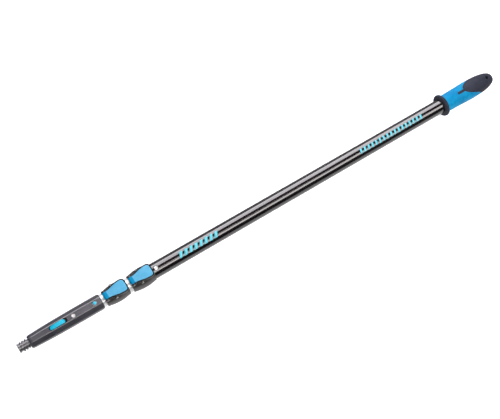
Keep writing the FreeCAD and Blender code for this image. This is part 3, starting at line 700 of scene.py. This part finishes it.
def guard_profile():
    """The ring's section: offsets along the pole from its middle, and radii."""
    half, edge, flat_r = GUARD_THICKNESS / 2, GUARD_EDGE_R, GUARD_R - GUARD_EDGE_R
    bore_r = GUARD_BORE_R + GUARD_GAP
    quarter = [math.pi / 2 * k / GUARD_CORNER_STEPS for k in range(GUARD_CORNER_STEPS + 1)]
    across = [k / GUARD_FACE_STEPS for k in range(1, GUARD_FACE_STEPS + 1)]
    profile = [(-half + edge - edge * math.cos(turn), flat_r + edge * math.sin(turn)) for turn in quarter]
    profile += [(half - edge + edge * math.sin(turn), flat_r + edge * math.cos(turn)) for turn in quarter]
    profile += [(half - GUARD_REAR_HOLLOW * math.sin(math.pi * t), flat_r - (flat_r - GUARD_SEAT_R) * t)
                for t in across]
    profile += [(half - GUARD_SEAT_DEPTH, GUARD_SEAT_R - 0.3), (half - GUARD_SEAT_DEPTH, bore_r)]
    lip_x, lip_turns = -half + 0.3, [math.pi * k / GUARD_LIP_STEPS for k in range(GUARD_LIP_STEPS + 1)]
    profile.append((lip_x, bore_r))
    profile += [(lip_x - GUARD_LIP_DEPTH * math.sin(turn), bore_r + GUARD_LIP_R * (1 - math.cos(turn)))
                for turn in lip_turns]
    front_r = bore_r + 2 * GUARD_LIP_R + 0.18
    profile += [(-half + GUARD_FRONT_HOLLOW * math.sin(math.pi * t), front_r + (flat_r - front_r) * t)
                for t in across[:-1]]
    return profile


def add_guard(materials):
    """Fat rubber ring with rounded edges, slightly hollow faces and a lip round its bore."""
    profile = guard_profile()
    middle_x = GUARD_X + GUARD_THICKNESS / 2
    vertices = []
    for j in range(GUARD_TURNS):
        a = 2 * math.pi * j / GUARD_TURNS
        vertices += [row(middle_x + x, r * math.sin(a), r * math.cos(a)) for x, r in profile]
    faces = grid_faces(GUARD_TURNS, len(profile), rows_close=True, columns_close=True)
    ring = mesh_object("guard_ring", vertices, faces)
    finish_piece(ring, "outer_section", materials["grip_dark"], "grip_dark", "grip_guard")


# ---------------------------------------------------------------- lever inlays
LEVER_PIN_X, LEVER_PIN_LIFT, KNUCKLE_R = 2.4, 6.6, 3.9
LEVER_FRONT_X, LEVER_REAR_X = 8.4, 44.8
LEVER_POLES = [(LEVER_FRONT_X, 9.2), (14.0, 9.7), (21.0, 12.0), (30.0, 13.2), (38.5, 13.7), (44.2, 11.2),
               (LEVER_REAR_X, 5.0), (LEVER_REAR_X, 0.0)]
LEVER_RISE = [(LEVER_PIN_X, 0.0), (9.0, 0.0), (20.0, 2.5), (33.0, 3.7), (41.0, 3.5),
              (LEVER_REAR_X + 1.0, 2.2)]
LEVER_RIM, INLAY_NOSE_HALF, INLAY_DROP = 2.3, 6.7, 1.2
NOSE_STEPS, NOSE_CORNER_R = 24, 1.4
INLAY_ROOT, INLAY_TOP, INLAY_EDGE_R = -0.5, 0.42, 0.7  # heights over the lever's skin, and the rim's round
INLAY_FLAT_START, INLAY_RIDGE_START, INLAY_RIDGE_END = 1.3, 3.5, 8.0
INLAY_RISE, INLAY_CROWN = 0.12, 0.13  # over the rim: the slope towards the ridge, and the ridge itself
INLAY_RING_SHARES = (0.3, 0.6, 0.85)  # of the way from the flat's edge to the ridge
# the darker band is painted shade, where the inlay rounds down over the knuckle
NOSE_SHADE_END_X = 6.4  # the darker band at the inlay's front end stops here
CLAMPS = {"small": (172.2, 12.4), "large": (225.6, 13.7)}  # front end, and radius of the tube sliding in it


class LeverBack:
    """The lever's skin from the side, from under its nose to its rear end, in distances along it."""

    def __init__(self, pin_z):
        start = math.asin(-INLAY_DROP / KNUCKLE_R)
        turns = [start + (math.pi / 2 - start) * k / NOSE_STEPS for k in range(NOSE_STEPS + 1)]
        self.points = [(LEVER_PIN_X - KNUCKLE_R * math.cos(turn), pin_z + KNUCKLE_R * math.sin(turn))
                       for turn in turns]
        spline = b_spline([(x, pin_z + KNUCKLE_R + rise, 0) for x, rise in LEVER_RISE], 80)
        self.points += [(p.x, p.y) for p in spline[1:]]
        self.normals = []
        for k in range(len(self.points)):
            (x0, z0), (x1, z1) = self.points[max(k - 1, 0)], self.points[min(k + 1, len(self.points) - 1)]
            length = math.hypot(x1 - x0, z1 - z0)
            self.normals.append((-(z1 - z0) / length, (x1 - x0) / length))
        self.along = [0.0]
        for (x0, z0), (x1, z1) in zip(self.points, self.points[1:]):
            self.along.append(self.along[-1] + math.hypot(x1 - x0, z1 - z0))

    def lifted(self, u, height):
        """(x, z) at a distance along the skin, lifted off it by height."""
        u = min(max(u, 0), self.along[-1])
        k = max(j for j in range(len(self.along) - 1) if self.along[j] <= u)
        t = (u - self.along[k]) / (self.along[k + 1] - self.along[k])
        (x0, z0), (x1, z1) = self.points[k], self.points[k + 1]
        (nx0, nz0), (nx1, nz1) = self.normals[k], self.normals[k + 1]
        return (x0 + t * (x1 - x0) + height * (nx0 + t * (nx1 - nx0)),
                z0 + t * (z1 - z0) + height * (nz0 + t * (nz1 - nz0)))

    def distance_of(self, x):
        """The distance along the skin at x, behind the nose."""
        last = len(self.points) - 1
        k = max((j for j in range(NOSE_STEPS, last) if self.points[j][0] <= x), default=NOSE_STEPS)
        share = (x - self.points[k][0]) / (self.points[k + 1][0] - self.points[k][0])
        return self.along[k] + share * (self.along[k + 1] - self.along[k])


def inlay_outline(back):
    """The inlay's rim laid out flat: distances along the lever's skin, and offsets to the side."""
    flat_half, steps = INLAY_NOSE_HALF - NOSE_CORNER_R, 6
    half = [(0.0, flat_half * k / steps) for k in range(steps)]
    for k in range(steps + 1):
        turn = math.pi / 2 * k / steps
        half.append((NOSE_CORNER_R * (1 - math.cos(turn)), flat_half + NOSE_CORNER_R * math.sin(turn)))
    start, joined = half[-1][0], back.distance_of(LEVER_FRONT_X + LEVER_RIM)
    half += [(start + (joined - start) * k / 16, INLAY_NOSE_HALF + 0.2 * (k / 16)**3) for k in range(1, 16)]
    rear_x = LEVER_REAR_X - LEVER_RIM
    inset = [(min(max(x, LEVER_FRONT_X + LEVER_RIM), rear_x), y - LEVER_RIM, 0) for x, y in LEVER_POLES[:-2]]
    inset += [(rear_x, LEVER_POLES[-2][1] - LEVER_RIM, 0), (rear_x, 0, 0)]
    half += [(back.distance_of(p.x), max(p.y, 0)) for p in b_spline(inset, 70)]
    return half + [(u, -y) for u, y in reversed(half[1:-1])]


def rim_section():
    """The rim, from its root to the pad's flat: distances in from the outline, and heights over the skin."""
    steps = [(0.0, INLAY_ROOT), (0.0, INLAY_TOP - INLAY_EDGE_R)]
    for k in range(1, 7):
        turn = math.pi / 2 * k / 6
        steps.append((INLAY_EDGE_R * (1 - math.cos(turn)), INLAY_TOP - INLAY_EDGE_R * (1 - math.sin(turn))))
    return steps + [(INLAY_FLAT_START, INLAY_TOP + 0.01)]


def add_inlay(size, front_x, sliding_r, materials):
    """Blue pad on one lever, with a soft rounded rim and a slight crown towards its ridge."""
    back = LeverBack(sliding_r + LEVER_PIN_LIFT)
    outline = inlay_outline(back)
    n = len(outline)
    inward = []
    for k in range(n):
        (u0, y0), (u1, y1) = outline[k - 1], outline[(k + 1) % n]
        length = math.hypot(u1 - u0, y1 - y0) or 1
        inward.append(((y1 - y0) / length, -(u1 - u0) / length))
    ridge_end = back.distance_of(LEVER_REAR_X - LEVER_RIM) - INLAY_RIDGE_END
    vertices = []

    def add_ring(inset_by, share, height):
        """One ring of points, set in from the outline and then drawn towards the ridge by a share."""
        for (u, y), (inward_u, inward_y) in zip(outline, inward):
            ridge_u = min(max(u, INLAY_RIDGE_START), ridge_end)
            u, y = u + inset_by * inward_u, y + inset_by * inward_y
            x, z = back.lifted(u + share * (ridge_u - u), height)
            vertices.append(row(front_x + x, y * (1 - share), z))

    for inset_by, height in rim_section():
        add_ring(inset_by, 0, height)
    for share in INLAY_RING_SHARES:
        add_ring(INLAY_FLAT_START, share, INLAY_TOP + INLAY_RISE * share)
    add_ring(INLAY_FLAT_START, 1, INLAY_TOP + INLAY_CROWN)
    faces = grid_faces(len(vertices) // n, n, columns_close=True)
    faces.append(tuple(range(n)))
    pad = mesh_object(f"{size}_inlay_pad", vertices, faces)
    finish_piece(pad, f"{size}_lever", materials["lever_blue"], "lever_blue", f"{size}_lever_inlay")
    # the pad's front end gets the darker blue: painted shade where it rounds down over the knuckle
    paint_nose_shade(pad, row(front_x + NOSE_SHADE_END_X, 0, 0).x, materials["nose_painted_shade"])


def paint_nose_shade(pad, border_x, material):
    """Gives the faces in front of border_x a darker blue: painted shade, where the inlay rounds down over the
    lever's knuckle.
    """
    pad.data.materials.append(material)
    for face in pad.data.polygons:
        if face.center.x < border_x:
            face.material_index = 1


# ---------------------------------------------------------------- springs
LATCH_SPRING_X, LATCH_SPRING_R, LATCH_WIRE_R, LATCH_SPRING_TURNS = 85.0, 2.3, 0.35, 5
LATCH_SPRING_Z = (1.0, 8.5)
COIL_STEPS, WIRE_SIDES = 40, 12  # points per turn, and round the wire
BUTTON_SPRING_HALF_WIDTH, BUTTON_SPRING_THICKNESS = 3.4, 0.6
BUTTON_SPRING_TOP, BUTTON_SPRING_BOTTOM = (159.0, 7.85), (160.5, -10.8)  # x and z of its two free ends
BUTTON_SPRING_FOLD_X, BUTTON_SPRING_FOLD_R, BEND_STEPS = 123.4, 1.4, 8


def coil_height(turns):
    """Height of the wire's middle after so many turns. The first and last half turn are flatter."""
    low, high = LATCH_SPRING_Z[0] + LATCH_WIRE_R, LATCH_SPRING_Z[1] - LATCH_WIRE_R
    if turns < 0.5:
        return low + 2 * LATCH_WIRE_R * turns
    if turns > LATCH_SPRING_TURNS + 0.5:
        return high - 2 * LATCH_WIRE_R * (LATCH_SPRING_TURNS + 1 - turns)
    return low + LATCH_WIRE_R + (high - low - 2 * LATCH_WIRE_R) * (turns - 0.5) / LATCH_SPRING_TURNS


def add_latch_spring(materials):
    """Coil of round wire under the rear of the latch, which shortens as the latch goes in."""
    rings = COIL_STEPS * (LATCH_SPRING_TURNS + 1) + 1
    vertices = []
    for k in range(rings):
        turn = 2 * math.pi * k / COIL_STEPS
        for j in range(WIRE_SIDES):
            a = 2 * math.pi * j / WIRE_SIDES
            r = LATCH_SPRING_R + LATCH_WIRE_R * math.cos(a)
            z = coil_height(k / COIL_STEPS) + LATCH_WIRE_R * math.sin(a)
            vertices.append(row(LATCH_SPRING_X + r * math.cos(turn), r * math.sin(turn), z))
    faces = grid_faces(rings, WIRE_SIDES, columns_close=True)
    faces += [tuple(range(WIRE_SIDES)), tuple(range((rings - 1) * WIRE_SIDES, rings * WIRE_SIDES))]
    coil = mesh_object("latch_coil", vertices, faces)
    finish_piece(coil, "inner_section", materials["spring_steel"], "spring_steel", "latch_spring")
    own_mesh(coil)


def strip_side(radius, drop):
    """One side of the folded strip, from its upper end round the bend to its lower end."""
    points = []
    for (x, z), sign in ((BUTTON_SPRING_TOP, 1), (BUTTON_SPRING_BOTTOM, -1)):
        end = (x, z - sign * drop)
        rise = math.atan2(abs(end[1]), end[0] - BUTTON_SPRING_FOLD_X)
        reach = math.hypot(end[0] - BUTTON_SPRING_FOLD_X, end[1])
        tangent = math.pi / 2 + rise - math.asin(radius / reach)
        turns = [tangent + (math.pi - tangent) * k / BEND_STEPS for k in range(BEND_STEPS + 1)]
        arc = [(BUTTON_SPRING_FOLD_X + radius * math.cos(turn), sign * radius * math.sin(turn))
               for turn in turns]
        points += [end] + arc if sign > 0 else arc[-2::-1] + [end]
    return points


def add_button_spring(materials):
    """Strip folded once, between the button and the tube's wall, which flattens as the button goes in."""
    outer = strip_side(BUTTON_SPRING_FOLD_R, 0.0)
    inner = strip_side(BUTTON_SPRING_FOLD_R - BUTTON_SPRING_THICKNESS, BUTTON_SPRING_THICKNESS)
    outline = outer + inner[::-1]
    n = len(outline)
    vertices = [row(x, y, z) for y in (-BUTTON_SPRING_HALF_WIDTH, BUTTON_SPRING_HALF_WIDTH) for x, z in outline]
    faces = grid_faces(2, n, columns_close=True)
    for first in (0, n):
        faces += [(first + k, first + k + 1, first + n - 2 - k, first + n - 1 - k) for k in range(n // 2 - 1)]
    strip = mesh_object("button_strip", vertices, faces)
    finish_piece(strip, "inner_section", materials["spring_steel"], "spring_steel", "button_spring")
    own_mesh(strip)


# ---------------------------------------------------------------- printed marks on the outer tube
INK_LIFT, INK_THICKNESS, BAR_STEPS = 0.05, 0.06, 12
FRONT_MARK_X, FRONT_MARK_TURN = 370.5, math.radians(-7)
REAR_MARK_X, REAR_MARK_TURN = 829.7, math.radians(-9)


def add_print(name, centre_x, turn, shapes, materials):
    """Flat shapes, each a list of (along, across) points in mm round its own middle, wrapped on the tube."""
    vertices, faces = [], []
    radius = BARREL_R + INK_LIFT
    for outline in shapes:
        first, last = len(vertices), len(vertices) + len(outline) - 1
        for u, v in outline:
            a = turn + v / radius
            vertices.append(row(centre_x + u, radius * math.sin(a), radius * math.cos(a)))
        faces += [(first + k, first + k + 1, last - k - 1, last - k) for k in range(len(outline) // 2 - 1)]
    mark = mesh_object(name, vertices, faces)
    mark.data.materials.append(materials["cyan_ink"])
    film = mark.modifiers.new("film", "SOLIDIFY")
    film.thickness, film.offset = INK_THICKNESS * MM, 0
    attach(mark, "outer_section")


def bar(centre, width, height, slant):
    """A slanted upright bar, as a left side going up and a right side coming down."""
    rises = [k / BAR_STEPS - 0.5 for k in range(BAR_STEPS + 1)]
    side = [(centre + slant * rise, height * rise) for rise in rises]
    return [(u - width / 2, v) for u, v in side] + [(u + width / 2, v) for u, v in reversed(side)]


def bar_row(count, pitch, width, height, slant):
    """Equal slanted bars, evenly spaced about the middle."""
    return [bar((k - (count - 1) / 2) * pitch, width, height, slant) for k in range(count)]


add_camera()
add_lights()
add_floor()
MATERIALS = make_materials()
dress_frame(MATERIALS)
GRIP = Grip()
add_sleeve(GRIP, MATERIALS)
add_cap(GRIP, MATERIALS)
add_guard(MATERIALS)
add_latch_spring(MATERIALS)
add_button_spring(MATERIALS)
for clamp_size, (clamp_x, tube_r) in CLAMPS.items():
    add_inlay(clamp_size, clamp_x, tube_r, MATERIALS)
FRONT_BARS = bar_row(count=8, pitch=11.0, width=6.4, height=11.5, slant=5.5)
REAR_BARS = bar_row(count=17, pitch=9.6, width=4.6, height=9.8, slant=2.1)
add_print("front_mark", FRONT_MARK_X, FRONT_MARK_TURN, FRONT_BARS, MATERIALS)
add_print("rear_mark", REAR_MARK_X, REAR_MARK_TURN, REAR_BARS, MATERIALS)

bpy.context.scene.view_settings.view_transform = "Standard"
